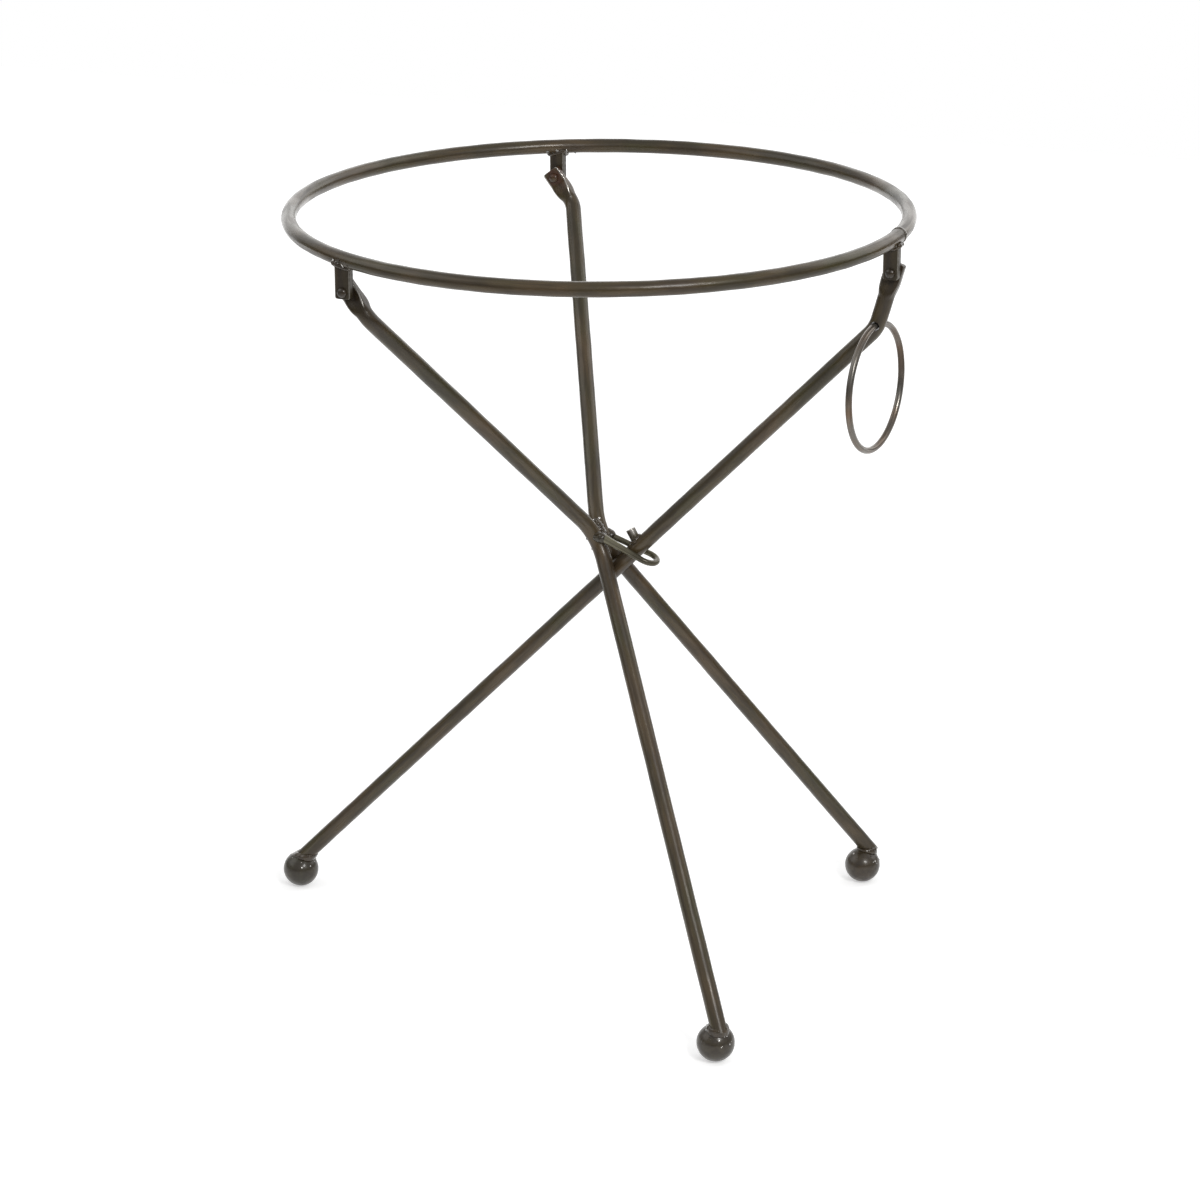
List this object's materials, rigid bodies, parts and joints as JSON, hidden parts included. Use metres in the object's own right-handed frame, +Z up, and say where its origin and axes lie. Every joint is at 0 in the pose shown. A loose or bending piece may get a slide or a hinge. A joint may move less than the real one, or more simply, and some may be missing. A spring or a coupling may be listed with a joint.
{
  "type": "folding tripod stand",
  "caption": "Folding wrought metal tripod stand with a round ring top, crossed bar legs on ball feet, a keeper loop at the crossing and a wire hang ring.",
  "frame": {"origin": "on the floor, straight below the centre of the top ring", "axes": "+Z up, +X towards the lug of the sliding leg, +Y towards the rear frame leg's lug and foot"},
  "size_m": [0.4569, 0.416, 0.5243],
  "materials": {
    "ring_bar": "satin bronze-brown lacquer",
    "leg_bar": "satin bronze-brown lacquer",
    "lug_plate": "satin bronze-brown lacquer",
    "rivet_head": "lacquer worn at the edges",
    "weld_bead": "lacquer over rough weld metal",
    "foot_ball": "glossy bronze-brown lacquer",
    "keeper_wire": "worn satin lacquer",
    "hang_wire": "dark polished wire"
  },
  "bodies": {
    "frame": {"frame_leg_rear": "leg_bar", "frame_leg_front": "leg_bar", "cross_weld": "weld_bead", "keeper_loop": "keeper_wire", "keeper_weld_rear": "weld_bead", "keeper_weld_front": "weld_bead", "ball_rear": "foot_ball", "ball_front": "foot_ball", "foot_weld_rear": "weld_bead", "foot_weld_front": "weld_bead"},
    "ring": {"top_ring": "ring_bar", "seam_weld": "weld_bead", "lug_rear": "lug_plate", "lug_front": "lug_plate", "lug_slide": "lug_plate", "lug_weld_rear": "weld_bead", "lug_weld_front": "weld_bead", "lug_weld_slide": "weld_bead", "rivet_rear": "rivet_head", "rivet_front": "rivet_head", "rivet_slide": "rivet_head"},
    "slide_leg": {"sliding_leg": "leg_bar", "stop_stub": "leg_bar", "stop_weld": "weld_bead", "ball_slide": "foot_ball", "foot_weld_slide": "weld_bead"},
    "hanger": {"hang_ring": "hang_wire"}
  },
  "joints": [
    {"name": "ring_fold", "type": "hinge", "parent": "frame", "child": "ring", "pos_m": [-0.1015, 0, 0.4975], "axis": [0, -1, 0], "range_deg": [0, 51]},
    {"name": "leg_fold", "type": "hinge", "parent": "ring", "child": "slide_leg", "pos_m": [0.203, 0, 0.4975], "axis": [0, 1, 0], "range_deg": [0, 16.6]},
    {"name": "hanger_swing", "type": "hinge", "parent": "slide_leg", "child": "hanger", "pos_m": [0.19227, 0, 0.46065], "axis": [0, 1, 0], "range_deg": [-120, 35]}
  ],
  "couplings": [
    {"joint": "leg_fold", "follows": "ring_fold", "ratio": 0.325}
  ]
}
